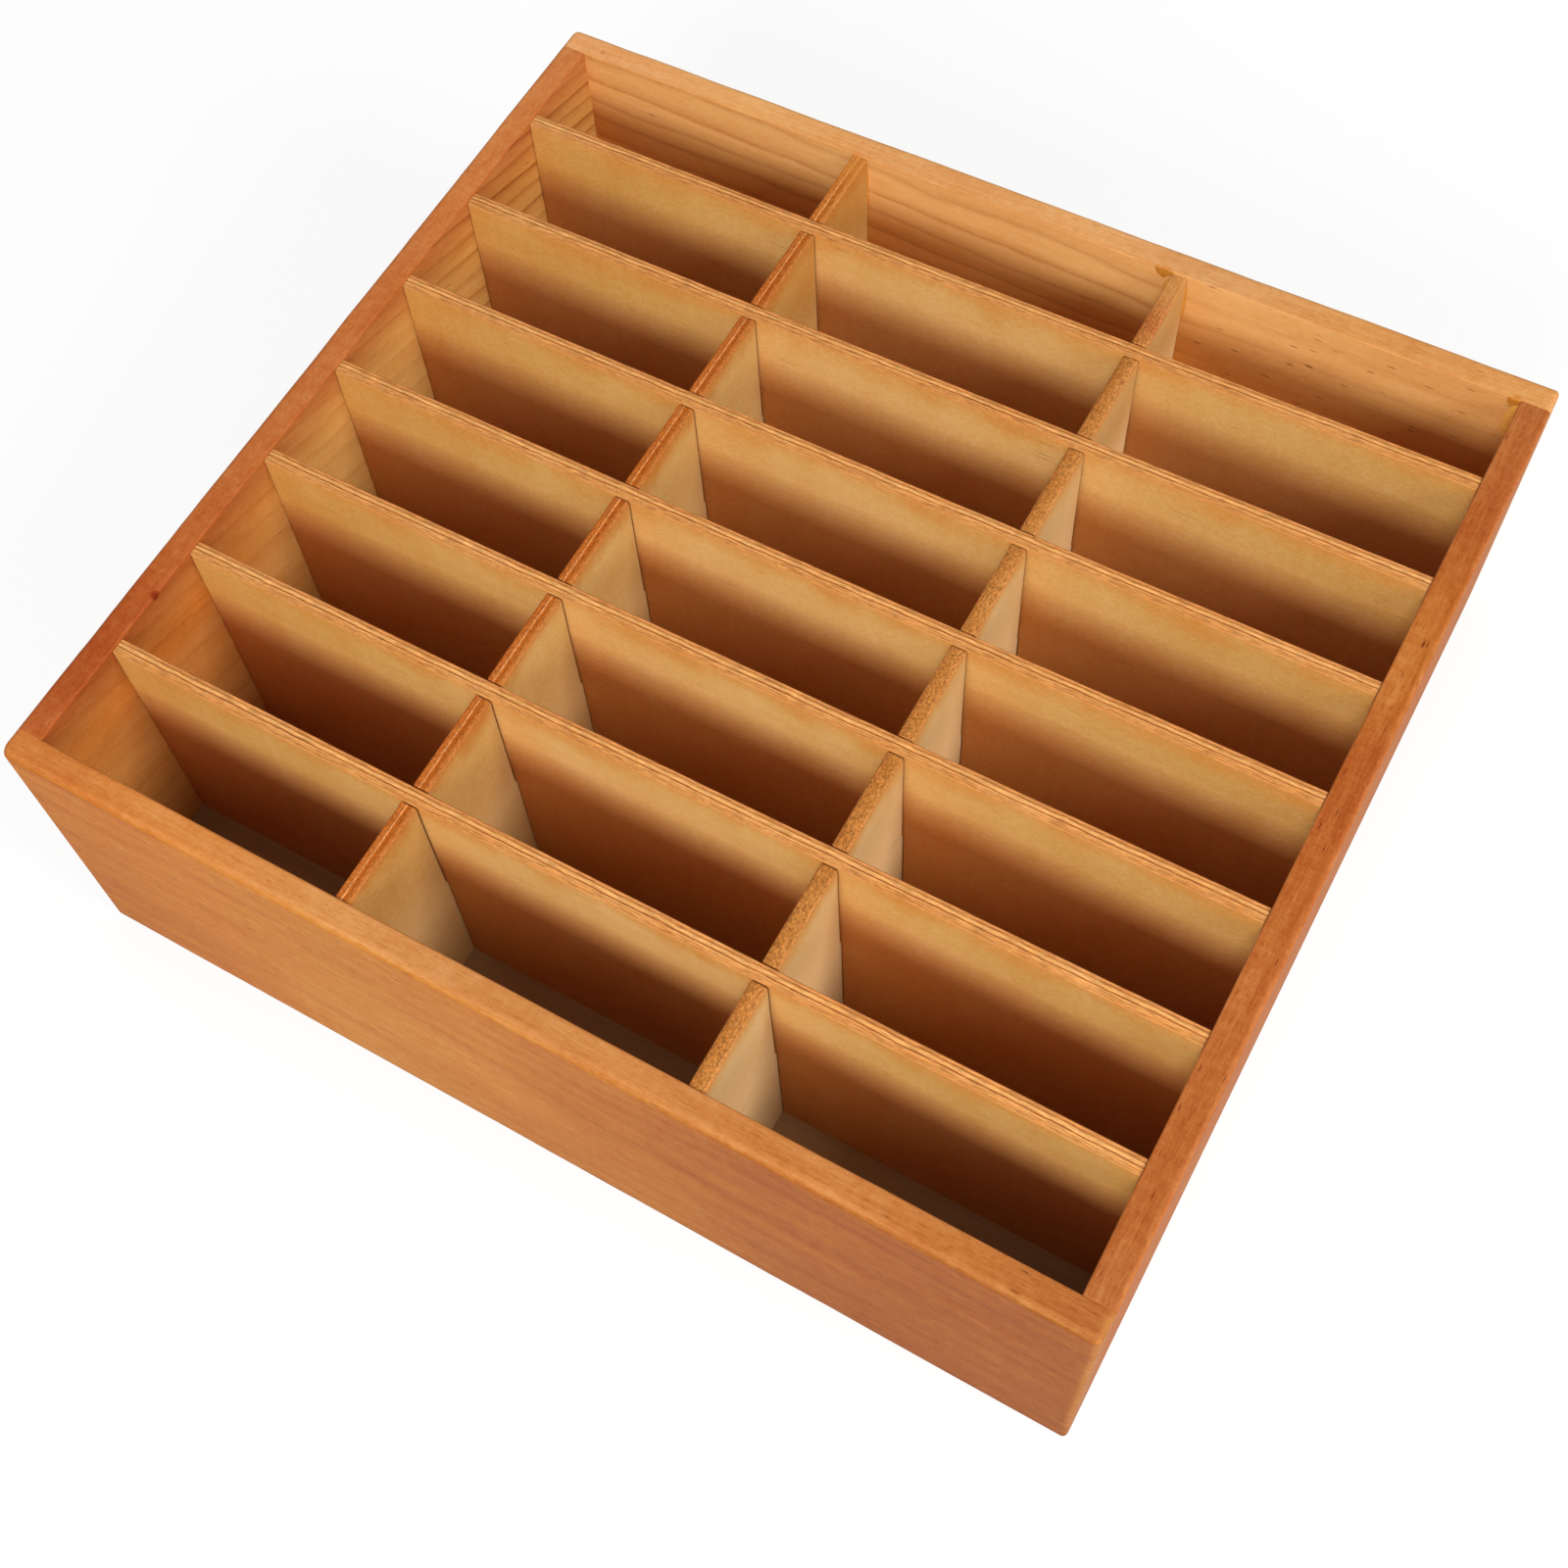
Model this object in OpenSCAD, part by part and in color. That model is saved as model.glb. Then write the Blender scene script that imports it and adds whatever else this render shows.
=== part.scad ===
// Open wooden storage box with a grid of compartments.
// The origin is at the middle of the footprint, on the surface that the box stands on.
// +X runs to the right along the width, +Y to the back, +Z up.

/* [Box] */
// Width over the side boards
box_w = 340; // [260:1:420]
// Depth over the front and back boards
box_d = 315; // [240:1:400]
// Height of the boards
box_h = 112; // [60:1:160]
// Thickness of the four boards
board_t = 9; // [7:0.5:14]
// Rounding along the boards' outer top and bottom edges
edge_r = 2; // [1:0.25:3.5]
// Rounding of the upright outer corners, seen from above
corner_r = 2; // [1:0.25:5]

/* [Bottom panel] */
// Thickness of the bottom panel
panel_t = 5; // [3:0.5:8]
// Height of the panel's underside above the boards' lower edges
panel_lift = 8; // [5:0.5:14]
// Depth of the grooves that hold the panel
groove_depth = 4; // [2:0.25:5]
// Room between the panel and the ends and tops of its grooves
groove_gap = 0.2; // [0.05:0.05:0.5]

/* [Compartments] */
// Number of columns from left to right
column_count = 3; // [2:1:6]
// Number of rows from front to back
row_count = 8; // [2:1:12]
// Clear width of the left column, as a share of a middle one
left_column_share = 0.97; // [0.7:0.005:1.3]
// Clear width of the right column, as a share of a middle one
right_column_share = 0.985; // [0.7:0.005:1.3]
// Clear depth of the back row, as a share of the other rows
back_row_share = 0.91; // [0.7:0.005:1.3]

/* [Dividers] */
// Thickness of the divider strips
divider_t = 5; // [3:0.25:7]
// Drop from the rim to the dividers' top edges
divider_drop = 0.5; // [0:0.1:3]
// Room on each side of a strip in the slot that it crosses
slot_gap = 0.3; // [0.1:0.05:0.6]
// Room between a strip's ends and the boards
end_gap = 0.1; // [0.05:0.05:0.4]

/* [Hidden] */
// Overrun of each cut past the face that it opens
overrun = 1;
// Facets of a full circle
$fn = 48;

// Clear inside of the four boards
inner_w = box_w - 2 * board_t;
inner_d = box_d - 2 * board_t;

// Heights of the floor, of the strips' tops and of the level where the half slots meet
floor_z = panel_lift + panel_t;
divider_top = box_h - divider_drop;
lap_z = (floor_z + divider_top) / 2;

// Clear sizes of the columns from left to right and of the rows from front to back, as shares
column_shares = [
    for (i = [1 : column_count])
        i == 1 ? left_column_share : i == column_count ? right_column_share : 1
];
row_shares = [for (i = [1 : row_count]) i == row_count ? back_row_share : 1];

// Sum of the first count entries of a list
function total(list, count) = count == 0 ? 0 : list[count - 1] + total(list, count - 1);

// Middle of strip number i, which follows compartment number i, where the compartments of the
// given shares and the strips between them fill a length
function strip_place(i, shares, length) =
    let (
        all_shares = total(shares, len(shares)),
        clear = length - (len(shares) - 1) * divider_t
    )
    clear * total(shares, i) / all_shares + (i - 0.5) * divider_t - length / 2;

long_count = row_count - 1;
cross_count = column_count - 1;
long_places = [for (i = [1 : long_count]) strip_place(i, row_shares, inner_d)];
cross_places = [for (i = [1 : cross_count]) strip_place(i, column_shares, inner_w)];

long_names = [for (i = [1 : long_count]) str("long_divider_", i)];
cross_names = [for (i = [1 : cross_count]) str("cross_divider_", i)];

pine = "#c87a3c";
pine_shade = "#b4602f";
plywood = "#cf8a4a";
panel_brown = "#8a5a3a";

// Rectangle with round corners, centred on the origin
module round_rectangle(width, height, radius) {
    square([width - 2 * radius, height], center = true);
    square([width, height - 2 * radius], center = true);
    for (side = [-1, 1])
        for (end = [-1, 1])
            translate([side * (width / 2 - radius), end * (height / 2 - radius)])
                circle(radius);
}

// Box centred on the z axis, from the level low up to the level high
module block(width, depth, low, high) {
    translate([-width / 2, -depth / 2, low])
        cube([width, depth, high - low]);
}

// The whole outer form: round corners in plan, and round top and bottom edges on all four sides
module outer_form() {
    intersection() {
        linear_extrude(box_h)
            round_rectangle(box_w, box_d, corner_r);
        translate([box_w / 2, 0, box_h / 2])
            rotate([90, 0, -90])
                linear_extrude(box_w)
                    round_rectangle(box_d, box_h, edge_r);
        translate([0, box_d / 2, box_h / 2])
            rotate([90, 0, 0])
                linear_extrude(box_d)
                    round_rectangle(box_w, box_h, edge_r);
    }
}

// Space of the panel and its grooves: it reaches groove_depth into every board
module groove_space() {
    block(inner_w + 2 * groove_depth, inner_d + 2 * groove_depth, panel_lift, floor_z + groove_gap);
}

// Board across the full width; side is -1 for the front and 1 for the back
module full_width_board(side) {
    difference() {
        intersection() {
            outer_form();
            translate([0, side * (inner_d + board_t) / 2, 0])
                block(box_w, board_t, 0, box_h);
        }
        groove_space();
    }
}

// Board that butts between the front and back ones; side is -1 for the left and 1 for the right
module side_board(side) {
    difference() {
        intersection() {
            outer_form();
            translate([side * (inner_w + board_t) / 2, 0, 0])
                block(board_t, inner_d, 0, box_h);
        }
        groove_space();
    }
}

module bottom_panel() {
    reach = 2 * (groove_depth - groove_gap);
    color(panel_brown)
        block(inner_w + reach, inner_d + reach, panel_lift, floor_z);
}

// Strip from side to side, slotted from below where the strips from front to back cross it
module long_divider(i) {
    color(plywood)
        translate([0, long_places[i - 1], 0])
            difference() {
                block(inner_w - 2 * end_gap, divider_t, floor_z, divider_top);
                for (place = cross_places)
                    translate([place, 0, 0])
                        block(
                            divider_t + 2 * slot_gap,
                            divider_t + 2 * overrun,
                            floor_z - overrun,
                            lap_z
                        );
            }
}

// Strip from front to back, slotted from above where the strips from side to side cross it
module cross_divider(i) {
    color(plywood)
        translate([cross_places[i - 1], 0, 0])
            difference() {
                block(divider_t, inner_d - 2 * end_gap, floor_z, divider_top);
                for (place = long_places)
                    translate([0, place, 0])
                        block(
                            divider_t + 2 * overrun,
                            divider_t + 2 * slot_gap,
                            lap_z,
                            divider_top + overrun
                        );
            }
}

module front_board() {
    color(pine)
        full_width_board(-1);
}

module back_board() {
    color(pine)
        full_width_board(1);
}

module left_board() {
    color(pine_shade)
        side_board(-1);
}

module right_board() {
    color(pine_shade)
        side_board(1);
}

front_board();
back_board();
left_board();
right_board();
bottom_panel();
for (i = [1 : long_count])
    long_divider(i);
for (i = [1 : cross_count])
    cross_divider(i);
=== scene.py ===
"""Looks of the open compartment storage box: stained pine boards, plywood dividers, light and camera.

Sizes are in millimetres until a mesh is made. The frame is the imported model's own: +X to the right,
+Y to the back, +Z up, with the origin under the middle of the box.
"""

import math

import bpy
import numpy as np
from mathutils import Matrix, Vector


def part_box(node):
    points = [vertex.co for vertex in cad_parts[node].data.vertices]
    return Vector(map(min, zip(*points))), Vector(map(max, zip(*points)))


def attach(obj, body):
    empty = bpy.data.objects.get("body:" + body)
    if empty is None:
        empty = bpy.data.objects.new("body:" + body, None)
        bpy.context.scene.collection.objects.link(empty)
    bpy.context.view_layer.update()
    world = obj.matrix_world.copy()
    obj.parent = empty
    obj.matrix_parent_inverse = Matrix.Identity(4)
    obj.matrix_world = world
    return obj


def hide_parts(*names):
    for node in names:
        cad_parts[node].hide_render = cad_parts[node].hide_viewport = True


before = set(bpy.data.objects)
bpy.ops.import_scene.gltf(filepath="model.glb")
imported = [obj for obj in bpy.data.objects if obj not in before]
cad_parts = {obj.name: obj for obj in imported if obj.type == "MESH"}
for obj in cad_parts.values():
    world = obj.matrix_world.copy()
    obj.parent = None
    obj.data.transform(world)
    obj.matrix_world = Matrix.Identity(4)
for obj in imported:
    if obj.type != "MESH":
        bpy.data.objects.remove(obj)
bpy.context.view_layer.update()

MM = 0.001

# Roundings along the boards' outer edges, and of the upright corners at the left and right end:
# they were sanded by hand, and the photograph shows each a little different
EDGES = {"front_board": 2.5, "back_board": 2.0, "left_board": 2.0, "right_board": 1.4}
CORNERS = {"front_board": (3.0, 1.6), "back_board": (2.2, 1.3)}
# How pale the outer top edge is made, partly varnish worn off and partly a painted highlight,
# at the left or front end and the other
RUBBED_AND_HIGHLIT = {
    "front_board": (0.05, 0.3),
    "back_board": (0.2, 0.2),
    "left_board": (0.05, 0.2),
    "right_board": (0.5, 0.4),
}
# How pale the upright corner at the right is made, partly worn and partly a painted highlight
CORNER_RUB_AND_HIGHLIGHT = {"front_board": 0.5, "back_board": 0.3}
# Small arris that sandpaper leaves on every other edge of the boards
BOARD_ARRIS = 0.6
# Room above and beyond the panel in its groove, and beside a strip in the slot that it crosses
GROOVE_ROOM = 0.2
SLOT_ROOM = 0.42
# Roundings of a strip's faces and top edge beside a slot, of a strip's ends, and of the panel
SLOT_EASE = 0.42
SLOT_TOP_EASE = 0.35
END_EASE = 0.3
PANEL_EASE = 0.4
# Least step between two stations or two faces, so that no face is without area
STEP = 0.02
# Levels at which a board's inner face has points between its rim and its groove
FACE_LEVELS = [90.0, 65.0, 40.0]
# Stations along a run of glue
GLUE_STATIONS = 40
# Point in the box that the softboxes face, in metres
LOOK_AT = Vector((0, 0, 0.06))
# How far the floor reaches from the middle, in metres, and how little it lies below the box
FLOOR_REACH = 14.0
FLOOR_DROP = 0.0002
# Setting of a map range that starts and ends softly
SOFTLY = {"interpolation_type": "SMOOTHSTEP"}


def span(node):
    """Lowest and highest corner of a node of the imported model, in millimetres."""
    low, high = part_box(node)
    return np.array(low) / MM, np.array(high) / MM


PANEL_LOW, PANEL_HIGH = span("bottom_panel")
HALF_WIDTH = span("right_board")[1][0]
RIM_TOP = span("back_board")[1][2]
LONG_NODES = sorted(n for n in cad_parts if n.startswith("long_divider"))
CROSS_NODES = sorted(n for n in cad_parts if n.startswith("cross_divider"))
STRIP_TOP = span(LONG_NODES[0])[1][2]
HALF_STRIP = (span(LONG_NODES[0])[1][1] - span(LONG_NODES[0])[0][1]) / 2
# Inner faces of the back board and of the right one
BACK_FACE = span("back_board")[0][1]
RIGHT_FACE = span("right_board")[0][0]


def wander(places, spacing, seed):
    """Smooth random line from -1 to 1: seeded heights at knots a spacing apart, joined by half
    cosine waves."""
    knots = np.random.default_rng(seed).uniform(-1, 1, 2048)
    share = places / spacing + 1024
    left = np.floor(share).astype(int)
    blend = (1 - np.cos(np.pi * (share - left))) / 2
    return knots[left] * (1 - blend) + knots[left + 1] * blend


def inset(distance, radius):
    """How far a quarter-round edge stands back from its face at a distance from the edge: the
    radius less the height of its circle there, and nothing beyond the radius."""
    reach = np.clip(radius - distance, 0, radius)
    return radius - np.sqrt(radius**2 - reach**2)


def quarter(middle_u, middle_z, radius, start, count):
    """Quarter circle at every station, turning clockwise from the start angle in degrees: the
    middle plus the radius times the cosine and the sine. The result is (stations, count, 2)."""
    turn = np.radians(start - np.linspace(0, 90, count))
    u = middle_u[:, None] + radius[:, None] * np.cos(turn)
    z = middle_z[:, None] + radius[:, None] * np.sin(turn)
    return np.stack([u, z], -1)


def points(u, z):
    """Points of a section at every station, from arrays or numbers that spread to
    (stations, count)."""
    u, z = np.broadcast_arrays(u, z)
    return np.stack([u, z], -1)


def new_object(name, data):
    """An object of the scene from a mesh, a lamp or a camera."""
    made = bpy.data.objects.new(name, data)
    bpy.context.scene.collection.objects.link(made)
    return made


def solid(name, rings, values):
    """Solid from closed rings of points, one ring to a station along the piece: quads join
    neighbouring rings and one face closes each end. Where a ring turns the wrong way round its run,
    by the sum of the cross products of its neighbouring points, the faces are turned outward.
    rings is (stations, points, 3) in millimetres, and values gives named numbers for every point."""
    stations, count = rings.shape[:2]
    start = np.arange(stations - 1)[:, None] * count
    here = start + np.arange(count)
    beside = start + np.roll(np.arange(count), -1)
    quads = np.stack([here, beside, beside + count, here + count], -1).reshape(-1, 4)
    first_end = np.arange(count)[::-1]
    last_end = np.arange(count) + (stations - 1) * count
    mesh = bpy.data.meshes.new(name)
    corners = (rings.reshape(-1, 3) * MM).tolist()
    mesh.from_pydata(corners, [], quads.tolist() + [first_end.tolist(), last_end.tolist()])
    area = np.cross(rings[0], np.roll(rings[0], -1, 0)).sum(0)
    run = rings[-1].mean(0) - rings[0].mean(0)
    if np.dot(area, run) < 0:
        mesh.flip_normals()
    for key, value in values.items():
        attribute = mesh.attributes.new(key, "FLOAT", "POINT")
        spread = np.broadcast_to(value, rings.shape[:2]).astype(np.float32)
        attribute.data.foreach_set("value", spread.ravel())
    mesh.shade_smooth()
    mesh.set_sharp_from_angle(angle=math.radians(38))
    return new_object(name, mesh)


def place_piece(piece, node, material):
    """The piece stands for its node, rides on the box and takes its finish from the slot."""
    piece.data.materials.append(material)
    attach(piece, "root")
    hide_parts(node)


def lay_out(places, section, along, outer, inward):
    """Rings of a bar: stations run along axis 0 or 1, and the section's u is measured from the
    outer face inwards on the other one."""
    run = np.broadcast_to(places[:, None], section.shape[:2])
    across = outer + inward * section[..., 0]
    pair = [run, across] if along == 0 else [across, run]
    return np.stack(pair + [section[..., 1]], -1)


def board_section(height, thickness, stand_back, drop, edge, arris, groove):
    """Section of a board at every station, clockwise from its outer lower edge: quarter rounds of
    the edge radius outside, small arrises inside, and the groove for the panel cut into the inner
    face. stand_back and drop pull the outer face and the top and bottom in near the board's ends."""
    top = height - drop
    face = stand_back[:, None]
    inner = np.full((len(stand_back), 1), thickness)
    slot_top = PANEL_HIGH[2] + GROOVE_ROOM
    slot_low = PANEL_LOW[2]
    levels = np.linspace(0, 1, 7)
    # Points about half a millimetre beyond each rounding keep the shading of the flat faces even
    low_face = (drop + edge + 0.6)[:, None]
    high_face = (top - edge - 0.6)[:, None]
    parts = [
        quarter(stand_back + edge, drop + edge, edge, 270, 8),
        points(face, low_face + levels * (high_face - low_face)),
        quarter(stand_back + edge, top - edge, edge, 180, 8),
        points((stand_back + edge + 0.4)[:, None], top[:, None]),
        points((thickness - arris - 0.4)[:, None], top[:, None]),
        quarter(thickness - arris, top - arris, arris, 90, 5),
        points(inner, (top - arris - 0.5)[:, None]),
        points(inner, np.array([*FACE_LEVELS, slot_top + 0.5, slot_top])),
        points(inner - groove[:, None], np.array([slot_top, slot_low])),
        points(inner, np.array([slot_low, slot_low - 0.5])),
        quarter(thickness - arris, drop + arris, arris, 0, 5),
        points((thickness - arris - 0.4)[:, None], drop[:, None]),
        points((stand_back + edge + 0.4)[:, None], drop[:, None]),
    ]
    # How strongly each point of the section is made pale, partly worn and partly a painted
    # highlight, and how strongly it takes the colour of the rim's inner edge
    worn = [0.0] * 15 + [0.0, 0.35, 0.6, 0.7, 0.7, 0.6, 0.35, 0.0] + [0.0] * 24
    brink = [0.0] * 25 + [0.3, 0.8, 1.0, 0.9, 0.6] + [0.0] * 17
    return np.concatenate(parts, 1), np.array(worn), np.array(brink)


def board(node, along, side, material, seed):
    """One of the four boards. The full-width ones (along 0) round off towards their ends as the
    model's outer form does, and the side ones (along 1) butt between them with a hairline V."""
    low, high = span(node)
    height = high[2] - low[2]
    thickness = high[1 - along] - low[1 - along]
    half = high[along]
    # Stations: even ones along the board, close ones at a butt joint or round an upright corner,
    # and pairs where the groove and the side boards end
    joint = np.array([0.0, 0.06, 0.14, 0.5, 2.0, 4.0])
    turn = 1 - np.cos(np.radians(np.linspace(0, 90, 9)))
    stations = [np.linspace(-half + 12, half - 12, 150)]
    if along == 1:
        stations += [joint - half, half - joint]
    else:
        near_left, near_right = [
            np.concatenate([radius * turn, radius + np.array([0.6, 1.6, 3.0, 5.0])])
            for radius in CORNERS[node]
        ]
        groove_end = PANEL_HIGH[0] + GROOVE_ROOM
        stops = np.array([groove_end, groove_end + STEP, half - thickness, half - thickness - STEP])
        stations += [near_left - half, half - near_right, stops, -stops]
    places = np.unique(np.round(np.concatenate(stations), 3))
    from_left = places + half
    from_right = half - places
    from_end = np.minimum(from_left, from_right)
    # The edge wavers by a hand's pressure over 19 and 5 mm, and hardly at the board's ends
    calm = np.clip((from_end - 6) / 20, 0, 1)
    waver = 0.3 * wander(places, 19, seed) + 0.12 * wander(places, 5, seed + 1)
    edge = EDGES[node] * (1 + 0.4 * waver * calm)
    arris = BOARD_ARRIS + 0.12 * wander(places, 9, seed + 2)
    reach = PANEL_HIGH[1 - along] + GROOVE_ROOM
    groove_depth = reach - (high[1 - along] if side > 0 else -low[1 - along]) + thickness
    groove = np.full(len(places), groove_depth)
    if along == 1:
        stand_back = 0.09 * np.clip(1 - from_end / 0.14, 0, 1)
        drop = stand_back
    else:
        left, right = CORNERS[node]
        stand_back = inset(from_left, left) + inset(from_right, right)
        drop = inset(from_left, EDGES["left_board"]) + inset(from_right, EDGES["right_board"])
        arris = np.where(from_end > thickness - STEP / 2, arris, 0.08)
        groove = np.where(np.abs(places) < groove_end + STEP / 2, groove_depth, STEP)
    section, worn, brink = board_section(height, thickness, stand_back, drop, edge, arris, groove)
    outer = high[1 - along] if side > 0 else low[1 - along]
    rings = lay_out(places, section, along, outer, -side)
    # Pale patches along the edge and on the upright corner, partly varnish worn off and partly a
    # painted highlight: the wear at the first end holds for three eighths of the length, and that at
    # the other for the last fifth
    patchy = 0.7 + 0.3 * wander(places, 7, seed + 3)[:, None]
    share = np.clip((places - low[along]) / (high[along] - low[along]) * 2.4 - 0.9, 0, 1)
    start, end = RUBBED_AND_HIGHLIT[node]
    rubbed_and_highlit = (start + (end - start) * share)[:, None] * patchy * worn
    if along == 0:
        upright = np.array([0.0] * 9 + [1.0] * 11 + [0.6] * 5 + [0.0] * 22)
        near_corner = CORNER_RUB_AND_HIGHLIGHT[node] * np.exp(-(((from_right - 0.9) / 0.9) ** 2))
        rubbed_and_highlit = np.maximum(rubbed_and_highlit, near_corner[:, None] * upright)
    piece = solid(node + "_pine", rings, {"wear": rubbed_and_highlit, "brink": 0.5 * brink * patchy})
    place_piece(piece, node, material)


def strip_middle(node, axis):
    """Middle of a strip's thickness along an axis, in millimetres."""
    low, high = span(node)
    return (low[axis] + high[axis]) / 2


def divider(node, along, layers, arrises, material, seed):
    """A plywood strip. Its section is a tall bar whose top edge shows the plies: each column of the
    top sits lower by its ply's relief plus a fine seeded fray. Strips along Y have their slots
    from above, with eased edges; strips along X have theirs from below."""
    low, high = span(node)
    half = (high[1 - along] - low[1 - along]) / 2
    middle = (high[1 - along] + low[1 - along]) / 2
    lap = (low[2] + high[2]) / 2
    from_above = along == 1
    crossed = LONG_NODES if from_above else CROSS_NODES
    slots = np.array([strip_middle(n, along) for n in crossed])
    slot_half = half + SLOT_ROOM
    # Stations: close ones round each slot and at the ends, and even ones clear of the slots
    ease = np.array([0.0, 0.04, 0.12, 0.25, 0.42, 0.8, 1.4])
    around = np.concatenate([slot_half + ease, [slot_half - STEP]])
    around = np.concatenate([around, -around])
    ends = np.array([0.0, 0.05, 0.15, 0.32, 0.8])
    base = np.arange(low[along] + 1.5, high[along] - 1.2, 1.45)
    base = base[np.abs(np.abs(base[:, None] - slots).min(1) - slot_half) > 1.5]
    places = np.concatenate(
        [base, low[along] + ends, high[along] - ends, (slots[:, None] + around).ravel()]
    )
    places = np.unique(np.round(places, 3))
    from_slot = np.abs(places[:, None] - slots).min(1) - slot_half
    in_slot = from_slot < -STEP / 2
    from_end = np.minimum(places - low[along], high[along] - places)
    # The top edge bows by up to a quarter of a millimetre
    bow = 0.12 * (1 + wander(places, 70, seed)) + 0.02
    count = len(places)
    clear = np.clip(from_slot, 0, None)
    if from_above:
        width = half - inset(clear, SLOT_EASE) - inset(from_end, END_EASE)
        soft_top = inset(clear, SLOT_TOP_EASE)
        top = np.where(in_slot, lap, high[2] - bow - soft_top)
        width = np.where(in_slot, half, width)
        foot = np.full(count, low[2])
        levels = np.where(in_slot[:, None], lap - np.array([9.0, 6.0]), lap + np.array([-0.5, 0.4]))
        shoulder = np.stack([np.full(count, half), width], 1)
    else:
        width = half - inset(from_end, END_EASE)
        top = high[2] - bow
        foot = np.where(in_slot, lap, low[2])
        levels = foot[:, None] + np.array([3.0, 6.0])
        shoulder = np.stack([width, width], 1)
    # The arrises at both sides of the top edge, and the plies between them
    left, right = arrises
    left = left * (1 + 0.2 * wander(places, 4, seed + 1))
    right = right * (1 + 0.2 * wander(places, 4, seed + 2))
    inner_u, lies, frays = np.array(layers)
    fray = np.stack([wander(places, 1.9, seed + 10 + k) for k in range(len(inner_u))], 1)
    relief = lies + frays * (1 + fray) / 2
    relief = np.where(in_slot[:, None], 0, relief)
    spread = inner_u * ((width - 0.02) / half)[:, None]
    spread = np.clip(spread, -(width - left - 0.03)[:, None], (width - right - 0.03)[:, None])
    spread = spread + np.linspace(-0.01, 0.01, len(inner_u))
    foot_half = half if from_above else width[:, None]
    parts = [
        points(-foot_half, foot[:, None]),
        points(-shoulder, levels),
        points(-width[:, None], (top - left - 0.55)[:, None]),
        quarter(-width + left, top - left, left, 180, 5),
        points(spread, top[:, None] - relief),
        quarter(width - right, top - right, right, 90, 5),
        points(width[:, None], (top - right - 0.55)[:, None]),
        points(shoulder[:, ::-1], levels[:, ::-1]),
        points(foot_half, foot[:, None]),
    ]
    section = np.concatenate(parts, 1)
    sawn = np.array([0.0] * 4 + [0.5, 0.9] + [1.0] * (len(inner_u) + 6) + [0.9, 0.5] + [0.0] * 4)
    rings = lay_out(places, section, along, middle, 1)
    worn = np.exp(-clear / 0.5) if from_above else np.zeros(count)
    worn = np.where(in_slot, 0, np.maximum(worn, np.exp(-from_end / 0.4)))
    values = {
        "edge": sawn * ~(in_slot & from_above)[:, None],
        "across": section[..., 0],
        "wear": 0.6 * worn[:, None] * (1 - sawn),
    }
    piece = solid(node + "_ply", rings, values)
    place_piece(piece, node, material)


def panel(node, material):
    """The bottom panel: a thin plate with eased edges, its section carried across the width."""
    low, high = span(node)
    places = np.concatenate([[0, 0.1, 0.4], np.linspace(4, high[0] * 2 - 4, 60)])
    places = low[0] + np.concatenate([places, high[0] * 2 - np.array([0.4, 0.1, 0])])
    ease = inset(np.minimum(places - low[0], high[0] - places), PANEL_EASE)
    radius = np.full(len(places), PANEL_EASE)
    half = high[1] - ease
    top = high[2] - ease
    foot = low[2] + ease
    inner = np.linspace(-1, 1, 40) * (half - 1)[:, None]
    parts = [
        quarter(-half + radius, foot + radius, radius, 270, 4),
        quarter(-half + radius, top - radius, radius, 180, 4),
        points(inner, top[:, None]),
        quarter(half - radius, top - radius, radius, 90, 4),
        quarter(half - radius, foot + radius, radius, 0, 4),
        points(inner[:, ::-1], foot[:, None]),
    ]
    section = np.concatenate(parts, 1)
    rings = lay_out(places, section, 0, 0.0, 1)
    piece = solid(node + "_ply", rings, {"across": section[..., 0]})
    place_piece(piece, node, material)


def place_glue(piece, material):
    """A piece of glue rides on the box and takes its finish with the dividers."""
    piece.data.materials.append(material)
    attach(piece, "root")


def glue_drop(name, middle, half_width, half_height, rise, material, seed):
    """A flat drop on the back board's inner face: its outline is an oval, a quarter wider above
    than below, whose radius wavers round it, drawn in by the cosine and raised by the sine of an
    angle from 0 to 84 degrees, and cut off level near the rim."""
    around = np.linspace(0, 2 * np.pi, 40, endpoint=False)
    outline = 1 + 0.08 * np.sin(3 * around + seed) + 0.05 * np.sin(5 * around + 2 * seed)
    angle = np.radians(np.array([0, 0, 12, 26, 42, 58, 72, 84]))[:, None]
    taper = 1 + 0.25 * np.sin(around)
    x = middle[0] + half_width * taper * outline * np.cos(around) * np.cos(angle)
    z = middle[1] + half_height * outline * np.sin(around) * np.cos(angle)
    z = np.minimum(z, RIM_TOP - 0.25)
    y = BACK_FACE - rise * np.sin(angle) + np.array([0.25] + [0.0] * 7)[:, None] + 0 * x
    place_glue(solid(name, np.stack([x, y, z], -1), {"thick": 0.7}), material)


def glue_run(name, corner, side, low, high, width, thick, material, seed):
    """A run of glue in the upright corner between the back board and a face at the x of the corner:
    its section is filled up to a quarter circle that touches both faces and reaches a little behind
    them, and its width follows the square root of a half sine wave from end to end."""
    share = np.linspace(0.02, 0.98, GLUE_STATIONS)
    heights = low + share * (high - low)
    reach = width * np.sqrt(np.sin(np.pi * share)) * (1 + 0.2 * wander(heights, 2.5, seed))
    turn = np.radians(np.linspace(90, 0, 9))
    hollow_x = corner + side * reach[:, None] * (1 - np.cos(turn))
    hollow_y = BACK_FACE - reach[:, None] * (1 - np.sin(turn))
    behind_x = np.full((GLUE_STATIONS, 2), corner - side * 0.06)
    behind_y = np.full((GLUE_STATIONS, 1), BACK_FACE + 0.08)
    x = np.concatenate([hollow_x, behind_x, hollow_x[:, :1]], 1)
    y = np.concatenate([hollow_y, hollow_y[:, -1:], behind_y, behind_y], 1)
    z = np.broadcast_to(heights[:, None], x.shape)
    place_glue(solid(name, np.stack([x, y, z], -1), {"thick": thick}), material)


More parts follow.
